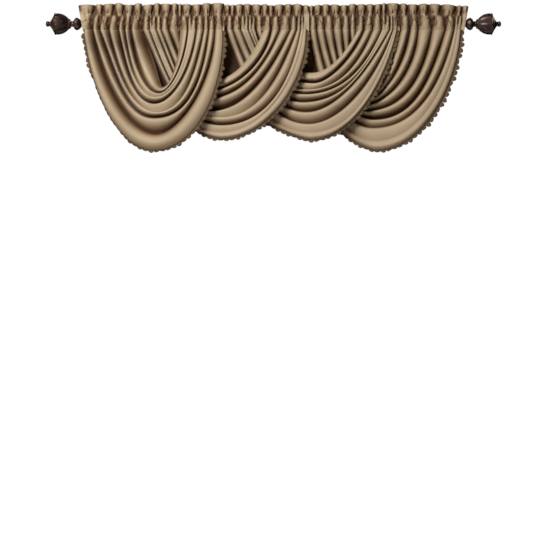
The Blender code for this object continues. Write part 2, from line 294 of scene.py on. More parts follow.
@dataclass(frozen=True)
class Swag:
    """One swag of cloth, laid over its fold lines from the hem to the neckline.

    A turn is the two shares of its length between which it comes forward. A
    crest is the share of a fold's width at which its crest lies, for the last
    fold and for the left side of the others. Hem recess is how far the first
    crest lies back on the left. Cut is its flat width, length and area.
    """

    name: str
    hem_turn: tuple[float, float]
    neck_turn: tuple[float, float]
    neck_crest: float
    left_crest: float
    hem_recess: float
    left_trim_drop: float
    cut: Triple
    lines: tuple[Line, ...]

    @property
    def folds(self) -> int:
        """Number of its folds."""
        return len(self.lines) - 1

    def below_gathers(self, across: float | Array, drop: Array) -> Array:
        """Return 0 at the seam and 1 where the folds hang free."""
        length = mix(HANG.gather_drop_hem, HANG.gather_drop_neck, across)
        return smooth((drop - SEAM_DROP) / length)

    def gathered(self, hung: Array, across: float | Array, drop: Array) -> Array:
        """Return a depth that is kept small at the seam."""
        most = mix(HANG.gather_depth_hem, HANG.gather_depth_neck, across)
        return mix(np.minimum(hung, most), hung, self.below_gathers(across, drop))

    def front(self, across: float | Array, s: Array, drop: Array) -> Array:
        """Return y of the fold crests.

        The swag turns from behind its left neighbour to in front of its right
        one between two shares of its length.

        Args:
            across: 0 at the hem and 1 at the neckline.
            s: Shares along the fold.
            drop: Drops below the rod's axis.

        Returns:
            The y of the crests.
        """
        start = mix(self.hem_turn[0], self.neck_turn[0], across)
        end = mix(self.hem_turn[1], self.neck_turn[1], across)
        hung = mix(HANG.front_left, HANG.front_right, smooth((s - start) / (end - start)))
        return mix(HANG.gather_front, hung, self.below_gathers(across, drop))

    def section(self, index: int, s: Array) -> tuple[Array, Array | float, Array | float]:
        """Return where a fold's crest lies between its lines, and its sides' powers.

        The low part of a fold hangs over, so its crest is close to its upper
        edge. A side slopes where the crest leaves it the longer one: the inner
        side on the left of some swags and the outer side low down.

        Args:
            index: The number of the fold's outer line.
            s: Shares along the fold.

        Returns:
            The crest's share of the way from the outer line to the inner one,
            the power of the outer side and that of the inner side.
        """
        low = low_share(s)
        if index == self.folds - 1:
            crest = mix(self.neck_crest, HANG.right_crest, low)
            return crest, HANG.neck_power, HANG.neck_fall / self.neck_crest
        side = np.where(s <= 0.5, self.left_crest, HANG.right_crest)
        crest = mix(side, HANG.low_crest if index else HANG.right_crest, low)
        long_side = HANG.sloping if self.left_crest < HANG.right_crest else HANG.steep
        left = np.where(s <= 0.5, long_side, HANG.steep)
        return crest, mix(HANG.steep, HANG.sloping, low), mix(left, HANG.steep, low)

    def fold(self, index: int, v: Array, s: Array) -> Array:
        """Return points of one fold.

        The cross-section rises from a sharp valley on one line over a round
        crest and falls to the next line: its depth behind the crest is the
        valley's depth times one less a power of the sine of a quarter turn.
        A low power makes a full crest with a steep side.

        Args:
            index: The number of the fold's outer line.
            v: Shares from the outer line, 0, to the inner one, 1.
            s: Shares along the fold.

        Returns:
            The points in millimetres, and as a fourth number how hollow each
            lies: its depth behind the swag's front over the hollow depth.
        """
        lines = self.lines[index : index + 2]
        across = (index + v) / self.folds
        (outer_x, outer_drop), (inner_x, inner_drop) = (line.path(s) for line in lines)
        x, drop = mix(outer_x, inner_x, v), mix(outer_drop, inner_drop, v)
        recess = np.where(s <= 0.5, self.hem_recess * (index == 0), 0.0) * (1 - low_share(s))
        crest = self.gathered(recess, across, drop)
        middle, outer_power, inner_power = self.section(index, s)
        sides = ((v, middle, outer_power), (1 - v, 1 - middle, inner_power))
        behind = 0.0
        for number, (line, (away, width, power)) in enumerate(zip(lines, sides), start=index):
            depth = self.gathered(line.hung_depth(s), number / self.folds, drop) - crest
            rise = np.sin(0.5 * math.pi * np.clip(away / width, 0, 1)) ** power
            behind = behind + depth * (1 - rise)
        y = self.front(across, s, drop) + crest + behind
        # The fourth number sets the painted shade of the cloth at this point.
        return np.stack((x, y, -drop - HANG.seat, (crest + behind) / PAINTED_SHADE_DEPTH), axis=-1)

    def grid(self, stations: int, samples: int) -> Array:
        """Return the whole swag, in rows along it and columns across it.

        A fold's samples are spaced by the share less a sine of a whole turn,
        which crowds them at its two valleys.

        Args:
            stations: Number of steps along the swag.
            samples: Number of steps across each fold.

        Returns:
            The x, y and z of each point, and how hollow it lies, which sets its painted shade.
        """
        s = np.linspace(0.0, 1.0, stations + 1)[:, None]
        even = np.arange(samples)[None, :] / samples
        v = even - HANG.crowding * np.sin(2 * math.pi * even) / (2 * math.pi)
        folds = [self.fold(index, v, s) for index in range(self.folds)]
        folds.append(self.fold(self.folds - 1, np.ones((1, 1)), s))
        return np.concatenate(folds, axis=1)

    def top_row(self, side: Side) -> Array:
        """Return the gathered top edge of one half, in order along the rod."""
        row = self.grid(2, HANG.top_samples)[0 if side is Side.LEFT else -1]
        return row[np.argsort(row[:, 0])]


SWAGS = (
    Swag("swag_1", (0.35, 0.60), (0.12, 0.36), 0.2, 0.22, 0.0, 14.0, (1.45, 0.66, 0.62), (
        #    left x  lean   low x  drop  lean   right x   depths   pulls
        Line(-919, 0.10, -574, 610, 0.04, -247, 14, 12, 5, 0.52, 0.59),
        Line(-872, 0.20, -567, 535, -0.04, -283, 34, 26, 32, 0.41, 0.38),
        Line(-839, 0.38, -575, 455, -0.11, -313, 34, 30, 32, 0.53, 0.69),
        Line(-794, 0.20, -563, 430, -0.18, -337, 32, 3, 30, 0.50, 0.58),
        Line(-747, 0.19, -577, 387, -0.10, -373, 34, 26, 32, 0.57, 0.44),
        Line(-717, 0.10, -568, 356, -0.08, -395, 26, 4, 0, 0.58, 0.50),
        Line(-689, 0.12, -553, 338, -0.07, -414, 34, 20, 34, 0.54, 0.41),
        Line(-636, 0.46, -536, 306, -0.01, -452, 26, 16, 12, 0.12, 0.47),
    )),
    Swag("swag_2", (0.38, 0.68), (0.49, 0.80), 0.4, 0.5, 44.0, 110.0, (1.40, 0.62, 0.50), (
        Line(-640, -0.12, -247, 555, 0.02, 158, 52, 12, 5, 0.38, 0.51),
        Line(-632, 0.42, -252, 525, -0.10, 147, 44, 4, 2),
        Line(-599, 0.38, -250, 489, -0.17, 133, 32, 24, 12, 0.52, 0.60),
        Line(-588, 0.36, -250, 451, -0.38, 114, 0, 4, 30),
        Line(-567, 0.40, -296, 418, -0.47, 83, 32, 32, 34, 0.52, 0.43),
        Line(-543, 0.40, -332, 359, -0.42, 32, 32, 28, 32),
        Line(-509, 0.40, -315, 320, -0.14, -9, 32, 28, 32, 0.52, 0.46),
        Line(-454, 0.31, -332, 281, -0.40, -46, 30, 6, 6),
    )),
    Swag("swag_3", (0.32, 0.62), (0.36, 0.65), 0.5, 0.5, 24.0, 100.0, (1.45, 0.66, 0.55), (
        Line(-245, -0.74, 185, 560, -0.21, 597, 34, 12, 5, 0.24, 0.45),
        Line(-226, 0.28, 180, 528, -0.30, 589, 32, 3, 2),
        Line(-196, 0.38, 174, 484, -0.33, 580, 32, 18, 30, 0.52, 0.38),
        Line(-158, 0.45, 162, 426, -0.56, 564, 32, 24, 28, 0.52, 0.35),
        Line(-138, 0.43, 148, 378, -0.52, 543, 0, 26, 0),
        Line(-121, 0.40, 162, 339, -0.42, 525, 32, 24, 30),
        Line(-104, 0.35, 169, 318, -0.42, 481, 6, 10, 32, 0.52, 0.53),
        Line(-87, 0.28, 202, 286, -0.42, 441, 32, 30, 34, 0.52, 0.28),
        Line(-51, 0.20, 191, 237, -0.49, 409, 14, 6, 6, 0.52, 0.38),
    )),
    Swag("swag_4", (0.35, 0.70), (0.60, 0.95), 0.45, 0.5, 24.0, 100.0, (1.45, 0.62, 0.52), (
        Line(163, -0.42, 502, 610, -0.08, 907, 34, 12, 6, 0.32),
        Line(175, 0.10, 497, 567, -0.12, 890, 32, 4, 2),
        Line(210, 0.18, 486, 502, -0.24, 877, 32, 18, 28, 0.52, 0.57),
        Line(248, 0.20, 490, 461, -0.34, 835, 32, 32, 34, 0.52, 0.61),
        Line(290, 0.16, 450, 418, -0.19, 769, 34, 24, 34, 0.52, 0.64),
        Line(333, 0.10, 424, 391, -0.09, 701, 32, 26, 34, 0.52, 0.56),
        Line(369, 0.06, 420, 374, -0.16, 664, 30, 22, 28, 0.52, 0.47),
        Line(400, 0.12, 440, 350, -0.36, 612, 14, 6, 44),
    )),
)


@dataclass(frozen=True)
class Half:
    """One gathered half of a swag's heading.

    Flat left and flat right are how far the pocket lies ungathered at its
    ends. A puff has its left pinch and the height of its top.
    """

    swag: int
    side: Side
    left: float
    right: float
    flat_left: float
    flat_right: float
    puffs: tuple[tuple[float, float], ...]

    @property
    def node(self) -> str:
        """Name of the solid that this half stands for."""
        return f"heading_{self.swag}_{self.side.value}"


HALVES = (
    Half(1, Side.LEFT, -924, -637, 26, 0, (
        (-924, 91), (-863, 93), (-827, 95), (-771, 100), (-725, 89), (-677, 98),
    )),
    Half(2, Side.LEFT, -637, -462, 0, 0, ((-637, 90), (-582, 99), (-548, 95), (-495, 97))),
    Half(1, Side.RIGHT, -462, -238, 0, 8, (
        (-462, 95), (-444, 94), (-395, 92), (-349, 99), (-301, 99),
    )),
    Half(3, Side.LEFT, -238, -57, 0, 0, (
        (-238, 91), (-209, 90), (-187, 94), (-146, 95), (-107, 92),
    )),
    Half(2, Side.RIGHT, -57, 173, 0, 30, (
        (-57, 94), (-24, 88), (0, 92), (51, 94), (92, 95), (143, 88),
    )),
    Half(4, Side.LEFT, 173, 402, 0, 0, (
        (173, 86), (194, 90), (233, 93), (274, 92), (323, 88), (361, 95),
    )),
    Half(3, Side.RIGHT, 402, 612, 0, 0, ((402, 93), (449, 94), (487, 93), (524, 99), (546, 98))),
    Half(4, Side.RIGHT, 612, 924, 0, 22, (
        (612, 97), (650, 92), (701, 96), (752, 95), (812, 92), (880, 87), (900, 86),
    )),
)


@dataclass(frozen=True)
class Level:
    """One level of the heading's section.

    Front and back are y of the crests. Puff is the share of the ruffle's depth
    and width the share of a puff's width. Seam is the share of the folds' depth
    at the seam, spear the depth round the pointed tops of the folds and point
    the share of their width. Follow is how far the back layer follows the
    front, and crease the depth of the fine tucks.
    """

    z: float
    front: float
    back: float
    puff: float
    width: float
    seam: float
    spear: float
    point: float
    follow: float
    crease: float


LEVELS = (
    #        z  front back puff  width seam spear point follow crease
    Level(-29.4, -19, 7, 0.0, 0.30, 1.00, 0, 1.0, 0.0, 0.5),
    Level(-20, -22, 14, 0.0, 0.30, 0.90, 2, 1.0, 0.0, 2.0),
    Level(-8, -24, 19, 0.0, 0.30, 0.65, 6, 1.0, 0.0, 4.0),
    Level(8, -24, 20, 0.0, 0.30, 0.30, 9, 0.9, 0.0, 6.0),
    Level(22, -22, 17, 0.0, 0.30, 0.10, 9, 0.7, 0.0, 7.0),
    Level(34, -17, 10, 0.1, 0.45, 0.00, 5, 0.5, 0.5, 7.0),
    Level(43, -13, 6, 0.4, 0.55, 0.00, 1, 0.3, 1.0, 7.0),
    Level(54, -13, 6, 0.8, 0.65, 0.00, 0, 0.2, 1.0, 5.0),
    Level(72, -15, 6, 1.1, 0.85, 0.00, 0, 0.2, 1.0, 2.5),
    Level(92, -13, 6, 1.0, 0.96, 0.00, 0, 0.2, 1.0, 1.5),
)


class Graph:
    """The nodes of a material or of the surroundings, with short ways to add them."""

    def __init__(self, owner: Material | bpy.types.World, shader: str = "Principled BSDF") -> None:
        """Start from the owner's own nodes.

        Args:
            owner: The new material or surroundings.
            shader: Name of its shader.
        """
        owner.use_nodes = True
        self.owner = owner
        self.tree = owner.node_tree
        self.shader = self.tree.nodes[shader]

    def fill(self, node: bpy.types.Node, values: dict[int | str, object]) -> None:
        """Set a node's properties, and set or link its inputs.

        Args:
            node: The node.
            values: What each property or input takes, a constant or an output.
        """
        for key, value in values.items():
            if key in node.bl_rna.properties.keys():
                setattr(node, key, value)
                continue
            target = node.inputs[key.replace("_", " ") if isinstance(key, str) else key]
            if isinstance(value, Socket):
                self.tree.links.new(value, target)
            else:
                target.default_value = value

    def add(self, kind: str, *inputs: Socket | float, **values: object) -> bpy.types.Node:
        """Add a node.

        Args:
            kind: The node's type name.
            inputs: What its first inputs take.
            values: What its named properties and inputs take.

        Returns:
            The new node.
        """
        node = self.tree.nodes.new(kind)
        self.fill(node, {**dict(enumerate(inputs)), **values})
        return node

    def dress(self, **values: object) -> None:
        """Set or link the inputs of the surface shader itself."""
        self.fill(self.shader, values)

    def uv(self, name: str) -> Socket:
        """Return the coordinates of a uv map."""
        return self.add("ShaderNodeUVMap", uv_map=name).outputs["UV"]

    def tone(self) -> Socket:
        """Return each point's tone, which the uv map named across holds twice: painted shade on the cloth,
        and on the braid painted shade at its root and a darker rim.
        """
        return self.add("ShaderNodeSeparateXYZ", self.uv("across")).outputs["X"]

    def noise(self, vector: Socket, scale: Triple, detail: float) -> Socket:
        """Add noise of some detail, stretched by a scale along each axis."""
        place = self.add("ShaderNodeMapping", vector, Scale=scale).outputs["Vector"]
        return self.add("ShaderNodeTexNoise", place, Scale=1.0, Detail=detail, Roughness=0.55).outputs["Fac"]

    def threads(self, vector: Socket, pitch: float, axis: str) -> Socket:
        """Add even threads, from 0 to 1 high, a pitch in metres apart along an axis."""
        values = {"wave_type": "BANDS", "bands_direction": axis, "Scale": WAVE_LENGTH / pitch}
        return self.add("ShaderNodeTexWave", vector, **values).outputs["Fac"]

    def combine(self, kind: str, first: Socket, second: Socket | float) -> Socket:
        """Join two values by an operation, such as a sum or a product."""
        return self.add("ShaderNodeMath", first, second, operation=kind).outputs[0]

    def bump(self, height: Socket, distance: float, strength: float) -> Socket:
        """Return normals raised by shares of a height in metres."""
        values = {"Height": height, "Distance": distance, "Strength": strength}
        return self.add("ShaderNodeBump", **values).outputs["Normal"]

    def ramp(self, factor: Socket, stops: Sequence[tuple[float, Colour]]) -> Socket:
        """Turn a factor into a colour.

        Args:
            factor: The value that picks the colour.
            stops: Places from 0 to 1, each with its colour.

        Returns:
            The colour.
        """
        node = self.add("ShaderNodeValToRGB", factor)
        while len(node.color_ramp.elements) < len(stops):
            node.color_ramp.elements.new(0.5)
        for element, (place, colour) in zip(node.color_ramp.elements, stops):
            element.position = place
            element.color = (*colour, 1.0)
        return node.outputs["Color"]


@dataclass(frozen=True)
class ClothFinish:
    """Woven tan cloth with slubs and a soft sheen, and painted shade in its folds.

    Tones, the stops of the painted shade, are the colours that the cloth is
    multiplied by, from a crest to the foot of a hollow, each after its share
    of the way: they paint shade that deepens into each hollow, and their
    quick fall just off a crest paints a highlight along it.
    """

    name: str = "tan_cloth"
    light: Colour = (0.415, 0.325, 0.225)
    dark: Colour = (0.335, 0.26, 0.172)
    # Painted shade in the folds, with a painted highlight along the crests.
    painted_shade_stops: tuple[tuple[float, Colour], ...] = (
        (0.0, (1.0, 1.0, 1.0)),
        (0.05, (0.88, 0.865, 0.84)),
        (0.16, (0.72, 0.66, 0.58)),
        (0.36, (0.46, 0.37, 0.28)),
        (0.68, (0.15, 0.08, 0.035)),
    )
    slub_scale: Triple = (9.0, 420.0, 1.0)
    patch_scale: Triple = (7.0, 9.0, 1.0)
    slub_share: float = 0.6
    warp_pitch: float = 0.0011
    weft_pitch: float = 0.00088
    thread_height: float = 0.0002

    def build(self) -> Material:
        """Make the material, whose weave follows the cloth's own length and width.

        Returns:
            The material.
        """
        graph = Graph(bpy.data.materials.new(self.name))
        weave = graph.uv("weave")
        slubs = graph.noise(weave, self.slub_scale, 3.0)
        patches = graph.noise(weave, self.patch_scale, 2.0)
        own_slubs = graph.combine("MULTIPLY", slubs, self.slub_share)
        own_patches = graph.combine("MULTIPLY", patches, 1 - self.slub_share)
        mottled = graph.combine("ADD", own_slubs, own_patches)
        plain = graph.ramp(mottled, ((0.3, self.dark), (0.7, self.light)))
        # Painted shade: the cloth's colour is darkened by how hollow each point lies.
        painted_fold_shade = graph.ramp(graph.tone(), self.painted_shade_stops)
        shaded = graph.add("ShaderNodeVectorMath", plain, painted_fold_shade, operation="MULTIPLY")
        warp = graph.threads(weave, self.warp_pitch, "X")
        weft = graph.threads(weave, self.weft_pitch, "Y")
        threads = graph.combine("ADD", graph.combine("MULTIPLY", warp, weft), slubs)
        graph.dress(
            Base_Color=shaded.outputs[0],
            Normal=graph.bump(threads, self.thread_height, 0.5),
            Roughness=0.6,
            Sheen_Weight=0.12,
            Sheen_Roughness=0.45,
            Sheen_Tint=(1.0, 0.96, 0.9, 1.0),
            Specular_IOR_Level=0.25,
        )
        return graph.owner


@dataclass(frozen=True)
class BraidFinish:
    """Brown gold braid of twisted yarns, darker towards its rim, with painted shade along its root."""

    name: str = "gold_braid"
    light: Colour = (0.105, 0.062, 0.027)
    dark: Colour = (0.014, 0.007, 0.003)
    yarn_scale: Triple = (500.0, 500.0, 1.0)
    yarn_share: float = 0.5
    yarn_height: float = 0.0008

    def build(self) -> Material:
        """Make the material, whose tone is painted shade along the braid's root, under the hem, and darker
        towards its rim.

        Returns:
            The material.
        """
        graph = Graph(bpy.data.materials.new(self.name))
        yarns = graph.noise(graph.uv("weave"), self.yarn_scale, 2.0)
        own_yarns = graph.combine("MULTIPLY", yarns, self.yarn_share)
        # The tone paints shade along the root and darkens the rim; the yarns vary it.
        shade = graph.combine("ADD", graph.tone(), own_yarns)
        graph.dress(
            Base_Color=graph.ramp(shade, ((0.4, self.dark), (0.95, self.light))),
            Normal=graph.bump(yarns, self.yarn_height, 0.7),
            Roughness=0.85,
            Sheen_Weight=0.1,
        )
        return graph.owner


@dataclass(frozen=True)
class BronzeFinish:
    """Dark red brown painted bronze, rubbed through to copper in places."""

    name: str = "dark_bronze"
    paint: Colour = (0.017, 0.0085, 0.008)
    rubbed: Colour = (0.12, 0.052, 0.038)
    cloud_scale: Triple = (30.0, 45.0, 45.0)
    grain_scale: Triple = (350.0, 350.0, 350.0)
    grain_height: float = 0.0003

    def build(self) -> Material:
        """Make the material.

        Returns:
            The material.
        """
        graph = Graph(bpy.data.materials.new(self.name))
        place = graph.add("ShaderNodeTexCoord").outputs["Object"]
        clouds = graph.noise(place, self.cloud_scale, 4.0)
        grain = graph.noise(place, self.grain_scale, 2.0)
        graph.dress(
            Base_Color=graph.ramp(clouds, ((0.45, self.paint), (0.75, self.rubbed))),
            Normal=graph.bump(grain, self.grain_height, 0.4),
            Roughness=0.38,
            Metallic=0.35,
        )
        return graph.owner


@dataclass
class Surface:
    """A grid of points that becomes the fine piece of one solid.

    Points has rows along the piece and columns across it, in millimetres, and
    across holds a tone for each, which its finish paints in as shade. A closed
    piece joins its last column to its first.
    """

    node: str
    slot: Slot
    points: Array
    across: Array | None = None
    thickness: float = 0.0
    closed: bool = False

    def weave(self) -> Array:
        """Measure the piece's own length and width at each point.

        The length is the sum of the mean steps between rows, and the width the
        sum of the mean steps between columns.

        Returns:
            The length and width at each point, in metres.
        """
        steps = (
            np.linalg.norm(np.diff(self.points, axis=axis), axis=2).mean(axis=1 - axis)
            for axis in (0, 1)
        )
        length, width = (np.concatenate(([0.0], np.cumsum(step))) for step in steps)
        return np.stack(np.meshgrid(length, width, indexing="ij"), axis=-1) * MM

    def build(self, material: Material) -> Object:
        """Make the piece, which stands for its solid and rides the body.

        Its thickness lies half on each side of the points.

        Args:
            material: The finish of every face.

        Returns:
            The new object.
        """
        rows, columns = self.points.shape[:2]
        number = np.arange(rows * columns).reshape(rows, columns)
        if self.closed:
            number = np.concatenate((number, number[:, :1]), axis=1)
        sides = (number[:-1, :-1], number[:-1, 1:], number[1:, 1:], number[1:, :-1])
        faces = np.stack(sides, axis=-1).reshape(-1, 4)
        mesh = bpy.data.meshes.new(f"look_{self.node}")
        mesh.from_pydata((self.points * MM).reshape(-1, 3).tolist(), [], faces.tolist())
        maps = {"weave": self.weave().reshape(-1, 2)}
        # The uv map across carries each point's tone twice, which the finishes read as painted shade.
        if self.across is not None:
            maps["across"] = np.repeat(self.across.reshape(-1, 1), 2, axis=1)
        for label, values in maps.items():
            loops = values[faces.reshape(-1)].astype(np.float32)
            mesh.uv_layers.new(name=label).data.foreach_set("uv", loops.reshape(-1))
        mesh.shade_smooth()
        mesh.materials.append(material)
        piece = bpy.data.objects.new(f"look_{self.node}", mesh)
        bpy.context.scene.collection.objects.link(piece)
        if self.thickness:
            modifier = piece.modifiers.new("thickness", "SOLIDIFY")
            modifier.thickness = self.thickness * MM
            modifier.offset = 0.0
            modifier.use_even_offset = False
        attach(piece, "root")
        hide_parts(self.node)
        LOG.info("%s made, %d triangles before its thickness", piece.name, 2 * len(faces))
        return piece


@dataclass
class Heading:
    """A gathered heading half: ruffle, stitch line and rod pocket in one strip.

    Spears are the pointed tops of the swag's folds, and a notch is a dimple
    beside the middle of a puff. The lip is where an end of the pocket hangs
    lower at the seam. Each point gets painted shade by how far it lies behind
    its level's front; the full shade lies as deep as in the swags at the seam
    and as deep as the ruffle's shade depth higher up.
    """

    half: Half
    material: Material
    gap: float = 0.2
    column_pitch: float = 1.85
    rows_a_level: int = 6
    stitch_line: float = 43.0
    puff_depth: float = 14.0
    puff_power: float = 0.4
    spear_power: float = 0.7
    least_width: float = 0.2
    least_point: float = 0.1
    gather_ease: float = 12.0
    tucks_ungathered: float = 0.35
    seed_step: float = 3.0
    dimple: float = 6.0
    notch_width: float = 0.07
    notch_sway: float = 0.16
    sway_length: float = 23.0
    notch_rise: float = 0.1
    top_dip: float = 5.0
    top_roll: float = 1.4
    layer_gap: float = 4.5
    flare: float = 0.19
    flare_reach: float = 68.0
    lip_drop: float = 8.0
    lip_forward: float = 2.5
    lip_width: float = 12.0
    lip_ease: float = 10.0
    lip_start: float = -8.0
    lip_height: float = 21.0
    clear: float = 1.2
    # Depth behind its level at which a point of the ruffle gets full painted shade, and the height above the
    # seam over which that depth takes over.
    ruffle_shade_depth: float = 10.0
    ruffle_shade_rise: float = 30.0
    fullness: float = 1.3
    strip_length: float = 0.27

    @staticmethod
    def places(x: Array, edges: Array) -> Array:
        """Return how far each x is through its span between two edges."""
        index = np.clip(np.searchsorted(edges, x, side="right") - 1, 0, len(edges) - 2)
        return np.clip((x - edges[index]) / (edges[index + 1] - edges[index]), 0.0, 1.0)

    @staticmethod
    def arch(place: Array, width: Array | float, power: float) -> Array:
        """Return a power of a half sine, 1 on a crest, drawn in to a share of the span."""
        drawn = np.clip((place - 0.5) / width + 0.5, 0.0, 1.0)
        return np.sin(math.pi * drawn) ** power

    def puff_edges(self) -> Array:
        """Return the pinches of the ruffle."""
        return np.array([left for left, _ in self.half.puffs] + [self.half.right])

    def top(self, x: Array) -> Array:
        """Find the ruffle's top edge, which runs from puff to puff and dips between.

        Args:
            x: Places along the rod.

        Returns:
            The height of the edge at each place.
        """
        edges = self.puff_edges()
        tops = np.array([top for _, top in self.half.puffs])
        height = np.interp(x, (edges[:-1] + edges[1:]) / 2, tops)
        return height - self.top_dip * (1 - self.arch(self.places(x, edges), 1.0, 0.5))

    def fold_depth(self, x: Array) -> Array:
        """Return how far the swag's top edge lies behind its crests."""
        row = SWAGS[self.half.swag - 1].top_row(self.half.side)
        return np.interp(x, row[:, 0], row[:, 1]) - HANG.gather_front

    def fold_edges(self) -> Array:
        """Return the valleys between the folds at the seam."""
        lines = SWAGS[self.half.swag - 1].lines
        return np.sort([getattr(line, f"{self.half.side.value}_x") for line in lines])

    def from_end(self, x: Array, flat_left: float, flat_right: float, ease: float) -> Array:
        """Return 0 on the flat ends, where they have a length, eased to 1 in the middle."""
        left = smooth((x - self.half.left - flat_left) / ease + 1) if flat_left else 1.0
        return left * (smooth((self.half.right - flat_right - x) / ease + 1) if flat_right else 1.0)

    def front(self, x: Array, rows: dict[str, Array], raised: Array) -> Array:
        """Return y of the front layer.

        It is the level's own y plus the puffs, the folds of the seam, the
        spears, the notches and the creases, each times its depth, and it stays
        clear of the rod.

        Args:
            x: Places along the rod.
            rows: The values of the levels, one row each.
            raised: 0 below the stitch line and 1 at the top edge.

        Returns:
            The y of each point.
        """
        place = self.places(x, self.puff_edges())
        puffs = 1 - self.arch(place, rows["width"], self.puff_power)
        spears = 1 - self.arch(self.places(x, self.fold_edges()), rows["point"], self.spear_power)
        flats = (self.half.flat_left, self.half.flat_right)
        gathers = self.from_end(x, *flats, self.gather_ease) * np.ones_like(x)
        seed = self.half.swag + self.seed_step * (self.half.side is Side.LEFT)
        tucks = creases(x, rows["z"], seed)
        sway = self.notch_sway * np.sin(x / self.sway_length)
        beside = (place - 0.5 + sway) / self.notch_width
        notch = np.exp(-(beside**2)) * smooth(raised / self.notch_rise) * (1 - raised) ** 2
        front = (
            rows["front"]
            + self.puff_depth * rows["puff"] * puffs * mix(gathers, 1.0, raised)
            + rows["seam"] * self.fold_depth(x) * gathers
            + rows["spear"] * spears * gathers
            + self.dimple * notch
            + rows["crease"] * mix(gathers, 1.0, self.tucks_ungathered) * tucks
        )
        round_rod = np.maximum((ROD_RADIUS + self.clear) ** 2 - rows["z"] ** 2, 0.0)
        return np.minimum(front, -np.sqrt(round_rod))

    def rows(self) -> dict[str, Array]:
        """Read the levels along a smooth curve through their table.

        Returns:
            One column of values for each field of a level.
        """
        last = len(LEVELS) - 1
        places = np.linspace(0, last, last * self.rows_a_level + 1)
        table = through(np.array([astuple(level) for level in LEVELS]), places)
        rows = {part.name: column[:, None] for part, column in zip(fields(Level), table.T)}
        rows["width"] = np.clip(rows["width"], self.least_width, 1.0)
        rows["point"] = np.clip(rows["point"], self.least_point, 1.0)
        return rows

    def points(self) -> tuple[Array, Array]:
        """Lay the strip from the front seam over the top to the back seam.

        The valance's ends lean outwards by the flare times the height above
        the seam, less the further a place is from its end.

        Returns:
            The strip's points and how hollow each lies, which sets its painted shade.
        """
        rows = self.rows()
        left, right = self.half.left + self.gap, self.half.right - self.gap
        x = np.linspace(left, right, round((right - left) / self.column_pitch) + 1)[None, :]
        z, top = rows["z"], LEVELS[-1].z
        raised = smooth((z - self.stitch_line) / (top - self.stitch_line))
        ends = 1 - self.from_end(x, self.lip_width, self.lip_width, self.lip_ease)
        lip = ends * smooth((self.lip_start - z) / self.lip_height)
        height = z + raised * (self.top(x) - top) - self.lip_drop * lip
        front = self.front(x, rows, raised) - self.lip_forward * lip
        back = mix(rows["back"], front + self.layer_gap, rows["follow"])
        lean = sum(
            np.copysign(self.flare * np.clip(1 - np.abs(x - end) / self.flare_reach, 0, 1), end)
            for end in (HALVES[0].left, HALVES[-1].right)
        )
        along = x + lean * (height + SEAM_DROP)
        front_side, back_side = (
            np.stack(np.broadcast_arrays(along, y, height), axis=-1) for y in (front, back)
        )
        over = (front_side[-1:] + back_side[-1:]) / 2 + np.array((0.0, 0.0, self.top_roll))
        # Painted shade: the further a point lies behind its level's front, the darker it is painted, fully
        # at this depth; the back side gets none.
        full_shade_depth = mix(PAINTED_SHADE_DEPTH, self.ruffle_shade_depth, smooth((z + SEAM_DROP) / self.ruffle_shade_rise))
        hollow = np.clip((front - rows["front"]) / full_shade_depth, 0.0, 1.0)
        hollow = np.concatenate((hollow, hollow[-1:], 0.0 * hollow), axis=0)
        return np.concatenate((front_side, over, back_side[::-1]), axis=0), hollow

    def build(self) -> Object:
        """Returns:
            The new object.
        """
        points, hollow = self.points()
        surface = Surface(self.half.node, Slot.CLOTH, points, hollow, CLOTH_THICKNESS)
        piece = surface.build(self.material)
        return piece


